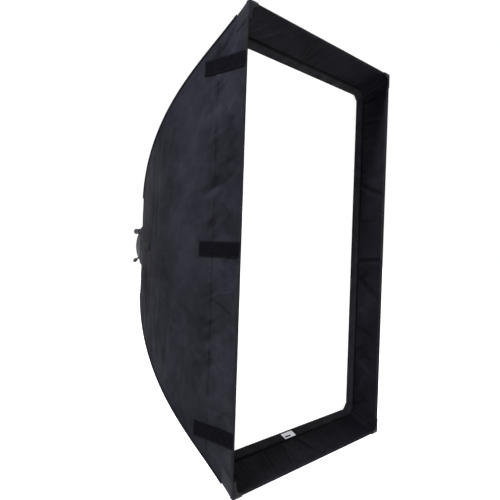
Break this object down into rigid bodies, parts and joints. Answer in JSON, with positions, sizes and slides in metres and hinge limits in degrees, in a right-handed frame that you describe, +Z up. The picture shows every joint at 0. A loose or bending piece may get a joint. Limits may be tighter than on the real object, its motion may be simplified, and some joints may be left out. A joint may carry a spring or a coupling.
{
  "type": "softbox",
  "caption": "Tapered cloth softbox on bowed rods with a rotating speed ring, a removable recessed front diffuser and an inner baffle.",
  "frame": {"origin": "centre of the adapter's rear face, where the flash head enters the clamping bore", "axes": "+Z up along the long side, +Y towards the flash head, so light leaves towards -Y, +X across the short side"},
  "size_m": [0.8034, 0.6915, 1.2034],
  "materials": {
    "adapter_metal": "satin black powder coat",
    "ring_metal": "satin black cast alloy",
    "plate_metal": "fine turned",
    "screw_steel": "zinc plated",
    "knob_plastic": "fine grained",
    "rod_steel": "drawn spring steel",
    "rubber_black": "matt",
    "clip_plastic": "moulded",
    "outer_cloth": "black coated nylon, fine plain weave, soft sheen",
    "lip_cloth": "black nylon, matt inside",
    "lining_silver": "aluminised cloth, soft metallic",
    "hook_tape": "hook-and-loop tape",
    "webbing_black": "ribbed webbing",
    "edge_tape": "folded edge tape",
    "white_cloth": "white translucent nylon",
    "elastic_black": "braided elastic cord",
    "label_white": "woven satin label"
  },
  "bodies": {
    "adapter": {"adapter_insert": "adapter_metal", "retaining_ring": "plate_metal", "retaining_screws": "screw_steel"},
    "lock_screw": {"rotation_lock_screw": "screw_steel", "rotation_lock_knob": "knob_plastic"},
    "front_diffuser": {"diffuser_cloth": "white_cloth", "diffuser_border": "hook_tape", "care_label": "label_white"},
    "clamp_screw_1_body": {"clamp_screw_1": "screw_steel"},
    "clamp_knob_1_body": {"clamp_knob_1": "knob_plastic"},
    "clamp_screw_2_body": {"clamp_screw_2": "screw_steel"},
    "clamp_knob_2_body": {"clamp_knob_2": "knob_plastic"},
    "clamp_screw_3_body": {"clamp_screw_3": "screw_steel"},
    "clamp_knob_3_body": {"clamp_knob_3": "knob_plastic"},
    "rear_flap_left": {"flap_left": "outer_cloth"},
    "rear_flap_right": {"flap_right": "outer_cloth"},
    "rear_flap_top": {"flap_top": "outer_cloth"},
    "rear_flap_bottom": {"flap_bottom": "outer_cloth"},
    "softbox": {"speed_ring": "ring_metal", "rod_sockets": "plate_metal", "rod_ferrules": "rod_steel", "rod_tips": "rubber_black", "rod_keepers": "clip_plastic", "rod_sleeves": "lip_cloth", "rod_upper_left": "rod_steel", "rod_upper_right": "rod_steel", "rod_lower_left": "rod_steel", "rod_lower_right": "rod_steel", "corner_pocket_upper_left": "webbing_black", "corner_pocket_upper_right": "webbing_black", "corner_pocket_lower_left": "webbing_black", "corner_pocket_lower_right": "webbing_black", "lip_left": "lip_cloth", "lip_right": "lip_cloth", "lip_top": "lip_cloth", "lip_bottom": "lip_cloth", "panel_left": "outer_cloth", "panel_right": "outer_cloth", "panel_top": "outer_cloth", "panel_bottom": "outer_cloth", "lining_left": "lining_silver", "lining_right": "lining_silver", "lining_top": "lining_silver", "lining_bottom": "lining_silver", "lip_hook_bands": "hook_tape", "rim_binding": "edge_tape", "piping_upper_left": "edge_tape", "piping_upper_right": "edge_tape", "piping_lower_left": "edge_tape", "piping_lower_right": "edge_tape", "grid_tabs_left": "hook_tape", "grid_tabs_right": "hook_tape", "grid_tabs_top": "hook_tape", "grid_tabs_bottom": "hook_tape", "rear_strap_left": "webbing_black", "rear_strap_right": "webbing_black", "inner_baffle": "white_cloth", "baffle_cords": "elastic_black", "baffle_clips": "clip_plastic"}
  },
  "joints": [
    {"name": "ring_rotation", "type": "hinge", "parent": "adapter", "child": "softbox", "pos_m": [0, -0.0285, 0], "axis": [0, 1, 0], "continuous": true},
    {"name": "diffuser_removal", "type": "slide", "parent": "softbox", "child": "front_diffuser", "axis": [0, -1, 0], "range_m": [0, 0.2]},
    {"name": "flap_left_hinge", "type": "hinge", "parent": "softbox", "child": "rear_flap_left", "pos_m": [-0.14731, -0.0975, 0], "axis": [0, 0, 1], "range_deg": [0, 110]},
    {"name": "flap_right_hinge", "type": "hinge", "parent": "softbox", "child": "rear_flap_right", "pos_m": [0.14731, -0.0975, 0], "axis": [0, 0, -1], "range_deg": [0, 110]},
    {"name": "flap_top_hinge", "type": "hinge", "parent": "softbox", "child": "rear_flap_top", "pos_m": [0, -0.0975, 0.14961], "axis": [1, 0, 0], "range_deg": [0, 110]},
    {"name": "flap_bottom_hinge", "type": "hinge", "parent": "softbox", "child": "rear_flap_bottom", "pos_m": [0, -0.0975, -0.14961], "axis": [-1, 0, 0], "range_deg": [0, 110]},
    {"name": "lock_turn", "type": "hinge", "parent": "adapter", "child": "lock_screw", "pos_m": [-0.08141, -0.0145, 0.047], "axis": [0, 1, 0], "range_deg": [-180, 0]},
    {"name": "clamp_travel_1", "type": "slide", "parent": "adapter", "child": "clamp_screw_1_body", "axis": [0, 0, -1], "range_m": [0, 0.008]},
    {"name": "clamp_turn_1", "type": "hinge", "parent": "clamp_screw_1_body", "child": "clamp_knob_1_body", "pos_m": [0, -0.0065, 0.1], "axis": [0, 0, -1], "range_deg": [0, 2880]},
    {"name": "clamp_travel_2", "type": "slide", "parent": "adapter", "child": "clamp_screw_2_body", "axis": [0.866, 0, 0.5], "range_m": [0, 0.008]},
    {"name": "clamp_turn_2", "type": "hinge", "parent": "clamp_screw_2_body", "child": "clamp_knob_2_body", "pos_m": [-0.0866, -0.0065, -0.05], "axis": [0.866, 0, 0.5], "range_deg": [0, 2880]},
    {"name": "clamp_travel_3", "type": "slide", "parent": "adapter", "child": "clamp_screw_3_body", "axis": [-0.866, 0, 0.5], "range_m": [0, 0.008]},
    {"name": "clamp_turn_3", "type": "hinge", "parent": "clamp_screw_3_body", "child": "clamp_knob_3_body", "pos_m": [0.0866, -0.0065, -0.05], "axis": [-0.866, 0, 0.5], "range_deg": [0, 2880]}
  ],
  "couplings": [
    {"joint": "clamp_turn_1", "follows": "clamp_travel_1", "rad_per_m": 6283.1},
    {"joint": "clamp_turn_2", "follows": "clamp_travel_2", "rad_per_m": 6283.1},
    {"joint": "clamp_turn_3", "follows": "clamp_travel_3", "rad_per_m": 6283.1}
  ]
}
